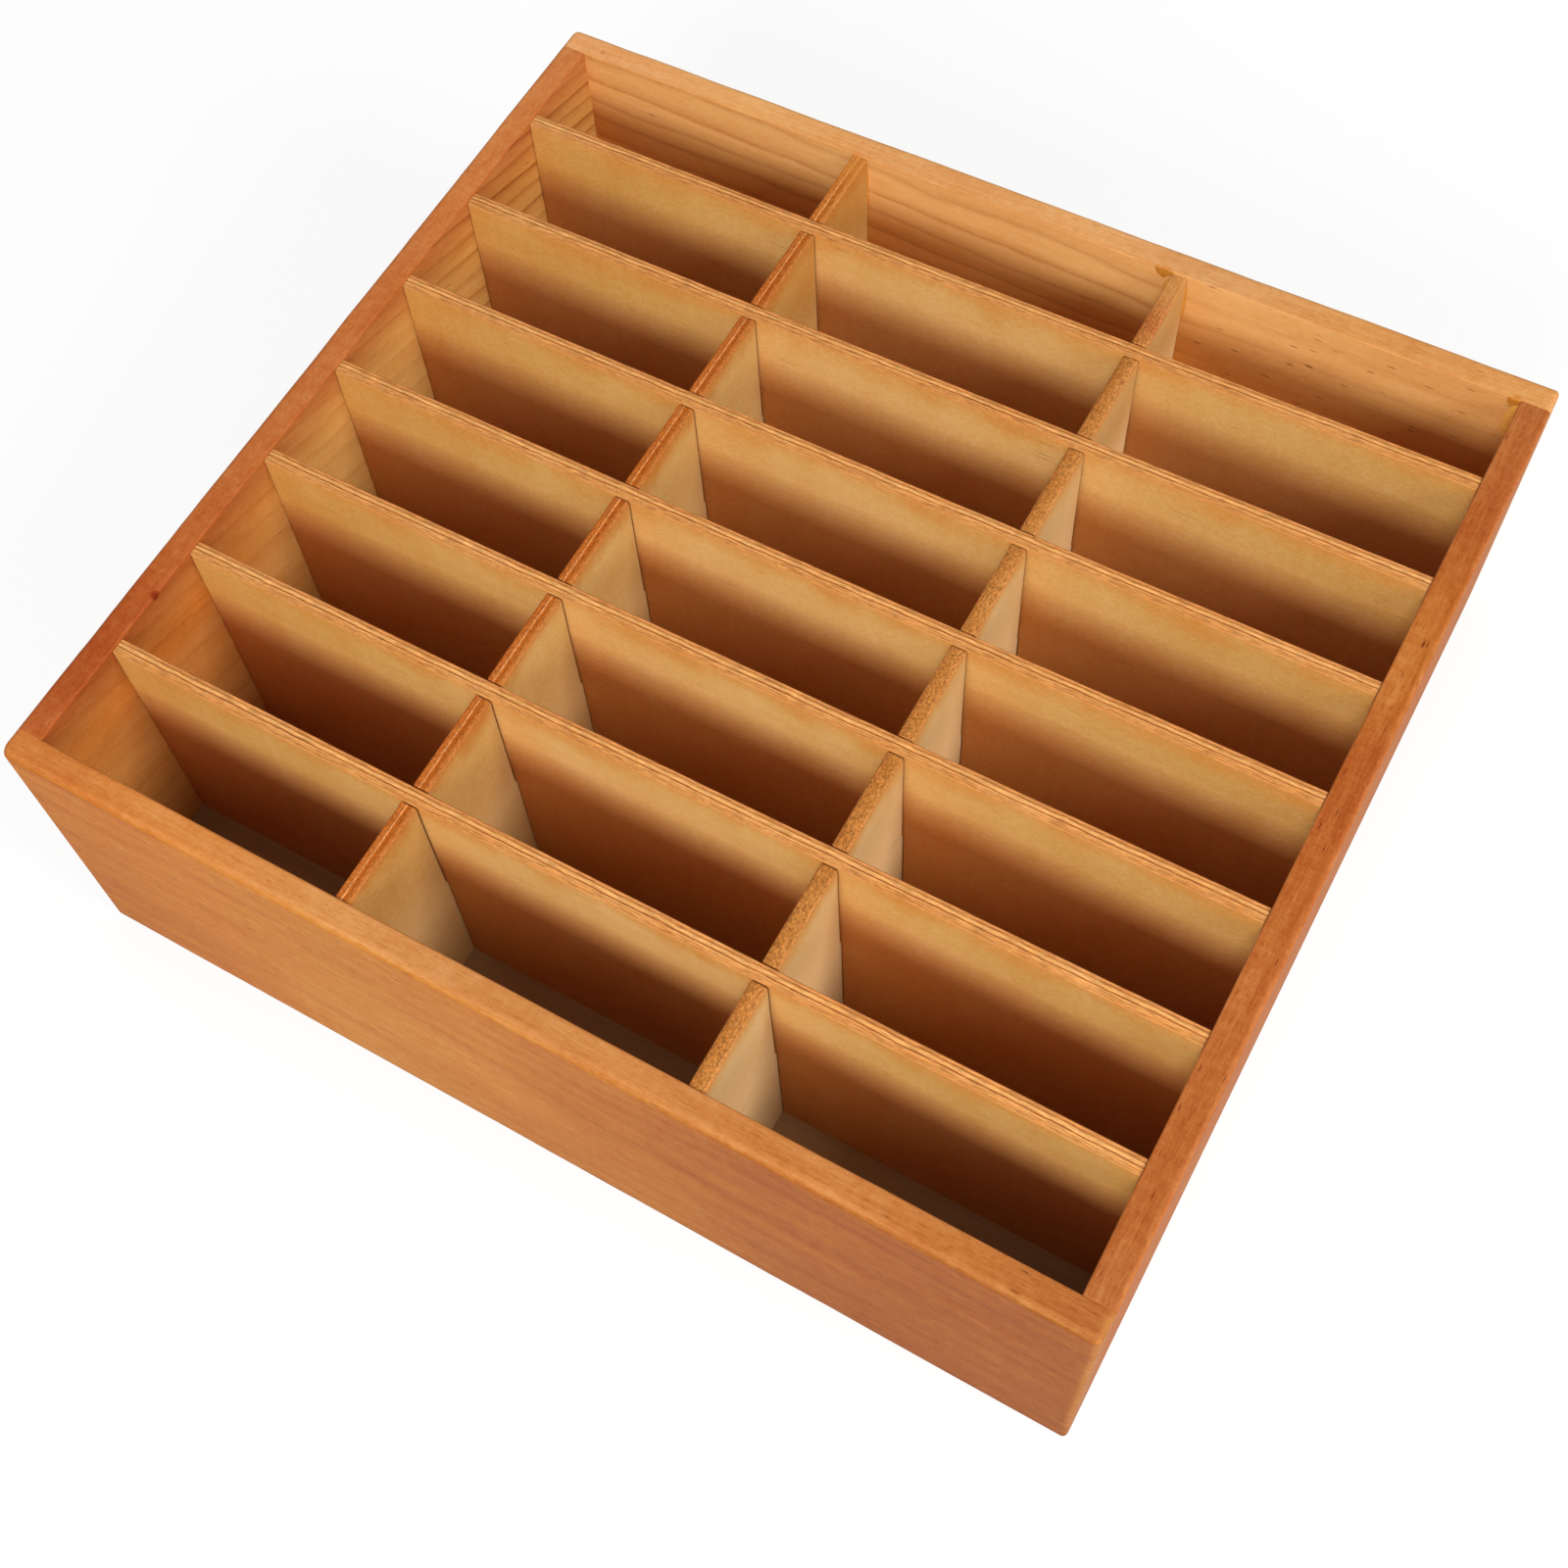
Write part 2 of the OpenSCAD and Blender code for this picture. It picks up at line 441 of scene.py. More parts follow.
def paint(text):
    """An sRGB hex colour as the linear colour that a shader wants."""
    shares = [int(text[i : i + 2], 16) / 255 for i in (1, 3, 5)]
    linear = [s / 12.92 if s <= 0.04045 else ((s + 0.055) / 1.055) ** 2.4 for s in shares]
    return (*linear, 1.0)


def add(tree, kind, inputs=(), stops=(), **settings):
    """Adds a shader node: settings are its properties, inputs its sockets by name or number, each a
    value, a hex colour or another node or socket to link from, and stops the places and the colours
    or values of a ramp."""
    node = tree.nodes.new("ShaderNode" + kind)
    for key, value in settings.items():
        setattr(node, key, value)
    for key, value in dict(inputs).items():
        if isinstance(value, str):
            value = paint(value)
        if isinstance(value, bpy.types.Node):
            value = value.outputs[0]
        if isinstance(value, bpy.types.NodeSocket):
            tree.links.new(value, node.inputs[key])
        else:
            node.inputs[key].default_value = value
    if stops:
        ramp = node.color_ramp
        while len(ramp.elements) < len(stops):
            ramp.elements.new(0.5)
        for element, (position, colour) in zip(ramp.elements, stops):
            element.position = position
            element.color = paint(colour) if isinstance(colour, str) else (colour,) * 3 + (1,)
    return node


def new_material(name):
    """An empty node material and its tree."""
    material = bpy.data.materials.new(name)
    material.use_nodes = True
    material.node_tree.nodes.clear()
    return material, material.node_tree


def in_mm(tree, turn=(0, 0, 0)):
    """The piece's own coordinates, and its places in millimetres, turned so that the grain runs
    along x."""
    place = add(tree, "TexCoord")
    scaled = {"Vector": place.outputs["Object"], "Rotation": turn, "Scale": (1 / MM,) * 3}
    return place, add(tree, "Mapping", scaled)


def drawn_out(tree, place, stretch, detail=2.0, roughness=0.5):
    """Noise drawn out along the grain: each direction of the place is multiplied by its own share
    per millimetre, and a mark is about as long as one over that share."""
    scaled = add(tree, "VectorMath", {0: place, 1: stretch}, operation="MULTIPLY")
    noise = {"Vector": scaled, "Scale": 1.0, "Detail": detail, "Roughness": roughness}
    return add(tree, "TexNoise", noise)


def summed(tree, start, parts):
    """Patterns added up: the start plus each part times its weight."""
    total = start
    for part, weight in parts:
        total = add(tree, "Math", {0: part, 1: weight, 2: total}, operation="MULTIPLY_ADD")
    return total


def coated(tree, colour, coats):
    """Coats laid over a first colour, each with its amount, its colour and how it blends."""
    for amount, coat, blend in coats:
        mix = {0: amount, 6: colour, 7: coat}
        colour = add(tree, "Mix", mix, data_type="RGBA", blend_type=blend).outputs[2]
    return colour


def dashed(tree, grain, stretch, limits, full, share):
    """Dashes along the grain, at a share of scattered places: each is full within the lower of two
    limits round its place and gone beyond the upper, as shares of the way to the next."""
    sparse = add(tree, "VectorMath", {0: grain, 1: stretch}, operation="MULTIPLY")
    cell = add(tree, "TexVoronoi", {"Vector": sparse, "Scale": 1.0})
    distance = {"Value": cell.outputs["Distance"], "From Min": limits[0], "From Max": limits[1]}
    near = add(tree, "MapRange", {**distance, "To Min": full, "To Max": 0.0})
    lot = add(tree, "SeparateColor", {"Color": cell.outputs["Color"]}).outputs["Red"]
    chosen = add(tree, "Math", {0: lot, 1: share}, operation="LESS_THAN")
    return add(tree, "Math", {0: near, 1: chosen}, operation="MULTIPLY")


def surface(tree, colour, height, relief, shine):
    """Ends a material: its colour over a relief, given by its strength and its height in
    millimetres, and the shader's settings for the shine."""
    strength, rise = relief
    bump = add(tree, "Bump", {"Strength": strength, "Distance": rise * MM, "Height": height})
    shader = add(tree, "BsdfPrincipled", {"Base Color": colour, "Normal": bump, **shine})
    add(tree, "OutputMaterial", {"Surface": shader})


def stained_pine(name, along, side, wood):
    """Pine, planed, sanded and stained amber under a thin satin varnish. To the eye: soft growth
    bands that darken slowly and end sharply, fine fibres and open pores along the board, short
    dark resin ducts, a blotchy stain that lies deeper on the rim, and pale edges, partly worn and
    partly a painted highlight. Low on the inner face a painted shade colour takes over.

    The pattern is a solid one, in millimetres. In wood, pith is the tree's middle beside the board,
    slant how the grain leans from the board's length, ring the width of a year's growth, figure how
    strongly the bands show, late how their colour grows through the year, plain where along the
    board they fade out, and fibre one over the length of a fibre. ducts is the share of places with
    a resin duct before and after plain, and rim_ducts that share on the rim. rim_depth is how far
    the rim's stain runs down the faces, shades and rim_tints are the tints of faces and rim from one
    end of the board to the other, lively how much light and dark vary on them, and scratches how
    much the sanding across the rim shows. early, late_wood, stain, deep, end, duct, worn and brink
    are the colours of the two kinds of growth, of the stain, of the painted shade low in the box,
    of end grain, ducts, the pale edges and the rim's inner edge. spots are knots and smears: their
    place, radius, strength and colour. A board with an outside has that tint on its outer face
    instead of its shades."""
    material, tree = new_material(name)
    place, spot = in_mm(tree)
    centred = add(tree, "Mapping", {"Vector": spot, "Location": [-p for p in wood["pith"]]})
    turn = (0, wood["slant"], 0) if along == 0 else (-wood["slant"], 0, -math.pi / 2)
    grain = add(tree, "Mapping", {"Vector": centred, "Rotation": turn})
    run = add(tree, "SeparateXYZ", {"Vector": grain})

    # The rim and its deeper stain, the depth below it, and the inner face, where a painted shade
    # colour takes over low down, for the warm light thrown between the walls
    normal = add(tree, "SeparateXYZ", {"Vector": place.outputs["Normal"]})
    level = add(tree, "SeparateXYZ", {"Vector": spot})
    looks_up = add(tree, "MapRange", {"Value": normal.outputs["Z"], "From Min": 0.45, "From Max": 0.9})
    height = {"Value": level.outputs["Z"]}
    soaks_in = {"From Min": RIM_TOP - wood["rim_depth"], "From Max": RIM_TOP + 4}
    soaked = add(tree, "MapRange", {**height, **soaks_in}, **SOFTLY)
    rim = add(tree, "Math", {0: looks_up, 1: soaked}, operation="MAXIMUM")
    goes_down = {"From Min": RIM_TOP - 12, "From Max": RIM_TOP - 40, "To Max": 0.85}
    low = add(tree, "MapRange", {**height, **goes_down}, **SOFTLY)
    inward = normal.outputs["Y" if along == 0 else "X"]
    inner = add(tree, "Math", {0: inward, 1: -side}, operation="MULTIPLY", use_clamp=True)
    painted_depth_shade = add(tree, "Math", {0: low, 1: inner}, operation="MULTIPLY")

    # Growth bands: distance from the pith, swaying along the board, divided into years
    sway = drawn_out(tree, grain, (0.011, 0.03, 0.03))
    ripple = drawn_out(tree, grain, (0.04, 0.2, 0.2), 1.0)
    flat = add(tree, "VectorMath", {0: grain, 1: (0, 1, 1)}, operation="MULTIPLY")
    radius = add(tree, "VectorMath", {0: flat}, operation="LENGTH").outputs["Value"]
    swayed = summed(tree, radius, [(sway, 9.0), (ripple, 2.0)])
    years = add(tree, "Math", {0: swayed, 1: wood["ring"]}, operation="DIVIDE")
    year = add(tree, "Math", {0: years}, operation="FLOOR")
    season = add(tree, "Math", {0: years}, operation="FRACT")
    fortune = add(tree, "TexWhiteNoise", {"W": year}, noise_dimensions="1D")
    late = add(tree, "ValToRGB", {"Fac": season}, stops=wood["late"])
    figure = wood["figure"]
    strength = add(tree, "MapRange", {"Value": fortune, "To Min": 0.35 * figure, "To Max": figure})
    plain = {"Value": run.outputs["X"], "From Min": wood["plain"][0], "From Max": wood["plain"][1]}
    fade = add(tree, "MapRange", {**plain, "To Min": 1.0, "To Max": 0.3}, **SOFTLY)
    calm = add(tree, "Math", {0: looks_up, 1: -0.8, 2: 1.0}, operation="MULTIPLY_ADD")
    banding = strength
    for part in (fade, calm, late):
        banding = add(tree, "Math", {0: banding, 1: part}, operation="MULTIPLY")

    # Clouds 10 mm wide, streaks 3 mm apart, fibres under a millimetre apart, and fine short pores
    cloud = drawn_out(tree, grain, (0.012, 0.11, 0.11))
    streak = drawn_out(tree, grain, (0.02, 0.33, 0.33), 4.0)
    fibre = drawn_out(tree, grain, (wood["fibre"], 1.2, 1.2), 5.0, 0.6)
    pitted = drawn_out(tree, grain, (0.4, 3.2, 3.2))
    pores = add(tree, "MapRange", {"Value": pitted, "From Min": 0.54, "From Max": 0.74})

    # Sanding scratches across the rim, 0.7 mm apart
    scratched = drawn_out(tree, grain, (1.4, 0.1, 0.1), 3.0)
    scratched = add(tree, "Math", {0: scratched, 1: 0.5}, operation="SUBTRACT")
    scratch = add(tree, "Math", {0: scratched, 1: looks_up}, operation="MULTIPLY")

    # Resin ducts: dark dashes about 3 mm long and half a millimetre wide, at a share of the places
    before, after = wood["ducts"]
    face_ducts = add(tree, "MapRange", {**plain, "To Min": before, "To Max": after})
    ducts_here = {"Value": looks_up, "To Min": face_ducts, "To Max": wood["rim_ducts"]}
    ducts_here = add(tree, "MapRange", ducts_here)
    ducts = dashed(tree, grain, (0.17, 1.1, 1.1), (0.1, 0.32), 1.0, ducts_here)

    # The stain takes unevenly: over some 40 mm, and in mottles of 4 mm that break up to specks
    blotch = add(tree, "TexNoise", {"Vector": grain, "Scale": 0.022, "Detail": 3.0})
    mottles = {"Vector": grain, "Scale": 0.28, "Detail": 5.0, "Roughness": 0.72}
    specks = add(tree, "TexNoise", mottles)
    blotched = {"Value": blotch, "From Min": 0.3, "From Max": 0.7, "To Max": 0.75}
    blotched = add(tree, "MapRange", blotched)

    # End grain drinks more stain: it shows where the face turns to the end of the board
    axis = (1, 0, 0) if along == 0 else (0, 1, 0)
    facing = add(tree, "VectorMath", {0: place.outputs["Normal"], 1: axis}, operation="DOT_PRODUCT")
    outright = add(tree, "Math", {0: facing.outputs["Value"]}, operation="ABSOLUTE")
    end_grain = {"Value": outright, "From Min": 0.6, "From Max": 1.0, "To Max": 0.5}
    end_grain = add(tree, "MapRange", end_grain)

    # Tints from one end of the board to the other, and the pale places, partly worn varnish and
    # partly a painted highlight
    lengthwise = level.outputs["X" if along == 0 else "Y"]
    share = {"Value": lengthwise, "From Min": -HALF_WIDTH, "From Max": HALF_WIDTH}
    share = add(tree, "MapRange", share)
    shade = add(tree, "ValToRGB", {"Fac": share}, stops=wood["shades"])
    if "outside" in wood:
        outward = add(tree, "Math", {0: inward, 1: side}, operation="MULTIPLY", use_clamp=True)
        mix = {0: outward, 6: shade, 7: wood["outside"]}
        shade = add(tree, "Mix", mix, data_type="RGBA").outputs[2]
    rim_tint = add(tree, "ValToRGB", {"Fac": share}, stops=wood["rim_tints"])
    # Lower on the inner face the tints give way to the painted shade colour
    shaded = add(tree, "Math", {0: painted_depth_shade, 1: -0.45, 2: 1.0}, operation="MULTIPLY_ADD")
    off_rim = add(tree, "Math", {0: 1.0, 1: rim}, operation="SUBTRACT")
    shaded = add(tree, "Math", {0: shaded, 1: off_rim}, operation="MULTIPLY")
    rub = add(tree, "Attribute", attribute_name="wear").outputs["Fac"]
    rubbed_and_highlit = add(tree, "Math", {0: rub, 1: specks}, operation="MULTIPLY")
    brink = add(tree, "Attribute", attribute_name="brink").outputs["Fac"]
    coats = [
        (blotched, wood["stain"], "MIX"),
        (painted_depth_shade, wood["deep"], "MIX"),
        (banding, wood["late_wood"], "MIX"),
        (shaded, shade, "MULTIPLY"),
        (rim, rim_tint, "MULTIPLY"),
        (end_grain, wood["end"], "MIX"),
        (ducts, wood["duct"], "MIX"),
        (rubbed_and_highlit, wood["worn"], "MIX"),
        (brink, wood["brink"], "MIX"),
    ]
    for middle, size, full, tint in wood["spots"]:
        away = add(tree, "VectorMath", {0: spot, 1: middle}, operation="DISTANCE").outputs["Value"]
        ragged = {0: specks, 1: -1.6 * size, 2: away}
        ragged = add(tree, "Math", ragged, operation="MULTIPLY_ADD")
        limits = {"From Min": -0.3 * size, "From Max": 0.7 * size, "To Min": full, "To Max": 0.0}
        inside = add(tree, "MapRange", {"Value": ragged, **limits}, **SOFTLY)
        coats.append((inside, tint, "MIX"))
    colour = coated(tree, wood["early"], coats)

    # Stain taken by the patterns, about the mean. More of it lets through a power of the colour, so
    # that dark places turn redder and not grey
    patterns = [
        (fibre, -0.5),
        (scratch, -wood["scratches"]),
        (cloud, -0.26),
        (streak, -0.26),
        (specks, -0.45),
        (pores, 0.24),
    ]
    taken = summed(tree, 0.715, patterns)
    on_faces, on_rim = wood["lively"]
    lively = add(tree, "MapRange", {"Value": looks_up, "To Min": on_faces, "To Max": on_rim})
    layers = add(tree, "Math", {0: taken, 1: lively, 2: 1.0}, operation="MULTIPLY_ADD")
    toned = add(tree, "Gamma", {"Color": colour, "Gamma": layers})

    # Raised fibres and late wood under the varnish, and the pores and ducts a little open
    rise = summed(tree, fibre, [(banding, 0.35), (specks, 0.5), (pores, -0.5), (ducts, -0.8)])
    gloss = add(tree, "MapRange", {"Value": streak, "To Min": 0.5, "To Max": 0.64})
    surface(tree, toned, rise, (0.6, 0.12), {"Roughness": gloss, "Specular IOR Level": 0.08})
    return material


def varnished_plywood(name, along, ply):
    """Poplar plywood, sawn into strips and stained honey under a thin satin varnish. To the eye:
    calm tan faces, cloudy where the stain took unevenly, with faint streaks and a few long dark
    dashes, a more orange margin where the stain ran over from the top, and on the sawn top edge the
    plies with their grit of torn fibres.

    In ply, face and streaked are the two colours of the veneer, deep a painted shade colour low
    on the faces, for the warm light thrown between the walls, sinks the depths between which it
    comes in, and margin, dash and worn the colours of the margin, the dashes and the worn
    arrises. edge and grit give the colours of the plies and the grit's strength across the top
    edge, wavering how far the plies wander in mm, and grit_size how fine the grit is along and
    across. sanded is the share of the way where the top edge starts to be smooth, where it is, and
    how rough it still is there. shades and edge_tints are the tints along the strip, of its faces
    and of its top edge."""
    material, tree = new_material(name)
    place, grain = in_mm(tree, (0, 0, 0) if along == 0 else (0, 0, -math.pi / 2))

    # Veneer: clouds of 20 mm, upright smears 4 mm wide, faint streaks, fibres and rare dark dashes
    cloud = drawn_out(tree, grain, (0.05, 0.13, 0.04), 3.0)
    smear = drawn_out(tree, grain, (0.25, 0.13, 0.03))
    streak = drawn_out(tree, grain, (0.02, 0.13, 0.3), 4.0)
    figure = drawn_out(tree, grain, (0.009, 0.13, 0.03))
    fibre = drawn_out(tree, grain, (0.7, 1.6, 1.3), 3.0)
    dashes = dashed(tree, grain, (0.045, 1.1, 1.1), (0.04, 0.26), 0.7, 0.025)

    # Margin of deeper stain, with a ragged limit some 6 to 14 mm below the top edge
    level = add(tree, "SeparateXYZ", {"Vector": grain})
    depth = add(tree, "Math", {0: STRIP_TOP, 1: level.outputs["Z"]}, operation="SUBTRACT")
    ragged = add(tree, "Math", {0: cloud, 1: 16.0, 2: depth}, operation="MULTIPLY_ADD")
    limits = {"From Min": 7.0, "From Max": 18.0, "To Min": 0.85, "To Max": 0.0}
    margin = add(tree, "MapRange", {"Value": ragged, **limits}, **SOFTLY)
    # Painted shade: lower down, between the depths in sinks, the faces take the deep colour, warmer or
    # lighter, for the light thrown between the walls
    starts, ends = ply["sinks"]
    painted_depth_shade = add(tree, "MapRange", {"Value": depth, "From Min": starts, "From Max": ends}, **SOFTLY)

    # The way along the strip, and where its top edge was sanded smooth
    length = add(tree, "SeparateXYZ", {"Vector": place.outputs["Object"]})
    way = {"Value": length.outputs[along], "From Min": -HALF_WIDTH * MM, "From Max": HALF_WIDTH * MM}
    way = add(tree, "MapRange", way)
    starts, ends, still_rough = ply["sanded"]
    sanding = {"From Min": starts, "From Max": ends, "To Min": 1.0, "To Max": still_rough}
    rough = add(tree, "MapRange", {"Value": way, **sanding})

    # The plies on the top edge, across the strip, wavering along it, and their grit
    across = add(tree, "Attribute", attribute_name="across").outputs["Fac"]
    waver = add(tree, "TexNoise", {"Vector": grain, "Scale": 0.07, "Detail": 5.0})
    shifted = {0: waver, 1: ply["wavering"], 2: across}
    shifted = add(tree, "Math", shifted, operation="MULTIPLY_ADD")
    usual = ply["wavering"] / 2
    share = {"Value": shifted, "From Min": usual - HALF_STRIP, "From Max": usual + HALF_STRIP}
    share = add(tree, "MapRange", share)
    plies = add(tree, "ValToRGB", {"Fac": share}, stops=ply["edge"])
    gritty_there = add(tree, "ValToRGB", {"Fac": share}, stops=ply["grit"])
    amount = add(tree, "Math", {0: gritty_there, 1: rough}, operation="MULTIPLY")
    along_size, across_size = ply["grit_size"]
    torn = drawn_out(tree, grain, (along_size, across_size, across_size))
    about_zero = {"From Min": 0.35, "From Max": 0.65, "To Min": -0.36, "To Max": 0.36}
    signed = add(tree, "MapRange", {"Value": torn, **about_zero})
    grit = add(tree, "Math", {0: signed, 1: amount, 2: 1.0}, operation="MULTIPLY_ADD")
    gritty = add(tree, "HueSaturation", {"Value": grit, "Color": plies})

    # Tints along the strip, of its faces and of its top edge
    shade = add(tree, "ValToRGB", {"Fac": way}, stops=ply["shades"])
    edge_tint = add(tree, "ValToRGB", {"Fac": way}, stops=ply["edge_tints"])
    mix = {0: 1.0, 6: gritty, 7: edge_tint}
    edge = add(tree, "Mix", mix, data_type="RGBA", blend_type="MULTIPLY").outputs[2]
    top_edge = add(tree, "Attribute", attribute_name="edge").outputs["Fac"]
    sawn = add(tree, "Math", {0: top_edge, 1: rough}, operation="MULTIPLY")
    rub = add(tree, "Attribute", attribute_name="wear").outputs["Fac"]
    coats = [
        (figure, ply["streaked"], "MIX"),
        (1.0, shade, "MULTIPLY"),
        (painted_depth_shade, ply["deep"], "MIX"),
        (margin, ply["margin"], "MIX"),
        (dashes, ply["dash"], "MIX"),
        (sawn, edge, "MIX"),
        (rub, ply["worn"], "MIX"),
    ]
    colour = coated(tree, ply["face"], coats)

    # Stain taken, about the mean: more of it lets through a power of the colour
    taken = summed(tree, 1.41, [(fibre, -0.42), (cloud, -0.22), (smear, -0.1), (streak, -0.1)])
    toned = add(tree, "Gamma", {"Color": colour, "Gamma": taken})

    rise = add(tree, "Math", {0: grit, 1: 1.5, 2: fibre}, operation="MULTIPLY_ADD")
    gloss = add(tree, "MapRange", {"Value": streak, "To Min": 0.48, "To Max": 0.62})
    surface(tree, toned, rise, (0.5, 0.1), {"Roughness": gloss, "Specular IOR Level": 0.1})
    return material


def raw_plywood(name):
    """Unfinished plywood of the bottom panel. To the eye: dull, pale greyish tan with long faint
    streaks, and none of the varnish's sheen."""
    material, tree = new_material(name)
    grain = in_mm(tree)[1]
    streak = drawn_out(tree, grain, (0.016, 0.3, 0.3), 3.0)
    fibre = drawn_out(tree, grain, (0.1, 1.5, 1.5), 3.0, 0.65)
    mix = {0: streak, 6: "#AC865A", 7: "#987044"}
    wood = add(tree, "Mix", mix, data_type="RGBA").outputs[2]
    tone = add(tree, "Math", {0: fibre, 1: 0.3, 2: 0.85}, operation="MULTIPLY_ADD")
    colour = add(tree, "HueSaturation", {"Value": tone, "Color": wood})
    surface(tree, colour, fibre, (0.6, 0.15), {"Roughness": 0.75, "IOR": 1.45})
    return material


def dried_glue(name):
    """Wood glue, dried and stained over. To the eye: glassy honey amber, darker orange-brown where
    it lies thick, with the gloss of the drop left in it. Its amber is paler than the glue's own,
    partly a painted sheen."""
    material, tree = new_material(name)
    clot = add(tree, "TexNoise", {"Vector": in_mm(tree)[1], "Scale": 0.7, "Detail": 3.0})
    thick = add(tree, "Attribute", attribute_name="thick").outputs["Fac"]
    dark = add(tree, "Math", {0: clot, 1: 0.8, 2: thick}, operation="MULTIPLY_ADD")
    share = add(tree, "MapRange", {"Value": dark, "From Min": 0.2, "From Max": 1.3})
    amber = add(tree, "ValToRGB", {"Fac": share}, stops=GLUE_AMBER_AND_SHEEN)
    surface(tree, amber, clot, (0.4, 0.2), {"Roughness": 0.38, "IOR": 1.46})
    return material


def seen_rays(tree):
    """1 for the rays that show a thing to the camera, straight, in a gloss or through a clear piece,
    and 0 for those that light other things."""
    ray = add(tree, "LightPath")
    seen = ray.outputs["Is Camera Ray"]
    for kind in ("Is Glossy Ray", "Is Transmission Ray"):
        seen = add(tree, "Math", {0: seen, 1: ray.outputs[kind]}, operation="ADD", use_clamp=True)
    return seen


def pale_floor(name):
    """Matt pale paper sweep. The camera and glossy rays see it near white, with the box's shadow
    left in it, and whiter further off, while it throws back only a mild light."""
    material, tree = new_material(name)
    place = add(tree, "TexCoord")
    away = add(tree, "VectorMath", {0: place.outputs["Object"]}, operation="LENGTH")
    whitens = {"From Min": 0.25, "From Max": 1.1, "To Min": 0.8, "To Max": 1.0}
    share = add(tree, "MapRange", {"Value": away.outputs["Value"], **whitens}, **SOFTLY)
    paper = add(tree, "BsdfDiffuse", {"Color": "#A3A19F"})
    shown_paper = add(tree, "BsdfDiffuse", {"Color": "#F4F3F2"})
    white = add(tree, "Emission", {"Color": (1, 1, 1, 1), "Strength": 1.0})
    shown = add(tree, "MixShader", {0: share, 1: shown_paper, 2: white})
    chosen = add(tree, "MixShader", {0: seen_rays(tree), 1: paper, 2: shown})
    add(tree, "OutputMaterial", {"Surface": chosen})
    return material


# How late wood's colour grows through a year, from its start to its end: soft, and sharply drawn
LATE_SOFT = [(0.0, 0.3), (0.12, 0.0), (0.45, 0.12), (0.7, 0.6), (0.86, 1.0), (1.0, 0.3)]
LATE_CRISP = [(0.0, 0.25), (0.08, 0.0), (0.5, 0.1), (0.78, 0.45), (0.9, 1.0), (1.0, 0.25)]

# Limits far beyond a board's end, for one whose bands don't fade out
NO_FADE = (1e4, 2e4)

# Glue where it is thin, middling and thick. The thin and middling colours are paler than the glue
# itself, partly a painted sheen
GLUE_AMBER_AND_SHEEN = [(0.0, "#E4A44E"), (0.5, "#D4913A"), (1.0, "#B46A1C")]

# Tints run from the left or front end, as shares of the box's width with its middle at a half
FRONT_PINE = {
    "pith": (0, -95, 48),
    "slant": 0.006,
    "ring": 6.0,
    "figure": 0.35,
    "late": LATE_SOFT,
    "plain": NO_FADE,
    "fibre": 0.07,
    "ducts": (0.03, 0.03),
    "rim_ducts": 0.015,
    "rim_depth": 0.1,
    "early": "#C08148",
    "late_wood": "#96562A",
    "stain": "#B47238",
    "deep": "#C88A4C",
    "end": "#B87C48",
    "duct": "#6A3A16",
    "worn": "#D89A50",
    "brink": "#B26C38",
    # Faces and rim darken towards the right end, partly a darker stain and partly a painted shadow
    "shades": [
        (0.04, "#F6DC9C"), (0.18, "#FFEAB0"), (0.32, "#FFF8C4"), (0.47, "#FAEAB4"),
        (0.75, "#DABD8A"), (0.96, "#CFAF7A"),
    ],
    "rim_tints": [
        (0.04, "#EED3B6"), (0.1, "#F8E4C8"), (0.19, "#FDF3E0"), (0.32, "#FCFEFD"),
        (0.44, "#F2F3F4"), (0.77, "#E9DFD4"), (0.9, "#D6C1A6"), (0.98, "#CDB59E"),
    ],
    "lively": (0.95, 0.8),
    "scratches": 0.1,
    "spots": [((-92.6, -150.2, 112.0), 0.7, 0.35, "#A8622C")],
}
BACK_PINE = {
    "pith": (0, 178, 122),
    "slant": -0.03,
    "ring": 6.5,
    "figure": 0.62,
    "late": LATE_CRISP,
    "plain": (40, 75),
    "fibre": 0.035,
    "ducts": (0.006, 0.1),
    "rim_ducts": 0.012,
    "rim_depth": 0.1,
    "early": "#E4AC68",
    "late_wood": "#B0662A",
    "stain": "#D89A58",
    "deep": "#EEA252",
    "end": "#C8884E",
    "duct": "#7A4218",
    "worn": "#F0B680",
    "brink": "#A8642C",
    "shades": [
        (0.0, "#F4DCD2"), (0.04, "#FFFFFF"), (0.8, "#FFFFFF"), (0.96, "#F6EEE6"),
        (1.0, "#EAD6C8"),
    ],
    "rim_tints": [
        (0.04, "#F1E5EE"), (0.22, "#EEE8E9"), (0.38, "#E4D6D5"), (0.55, "#EAE4EA"),
        (0.68, "#DFD7DE"), (0.8, "#DCCEC5"), (0.95, "#DCCDC1"),
    ],
    "lively": (0.5, 0.9),
    "scratches": 0.08,
    "spots": [
        ((-155.5, 151.5, 112.0), 0.9, 0.5, "#B0602C"),
        ((49.4, 148.4, 111.2), 1.6, 0.6, "#B86E26"),
        ((159.6, 148.5, 111.0), 1.5, 0.75, "#A45C1A"),
        ((-57.6, 148.5, 111.3), 1.5, 0.35, "#C47428"),
    ],
}
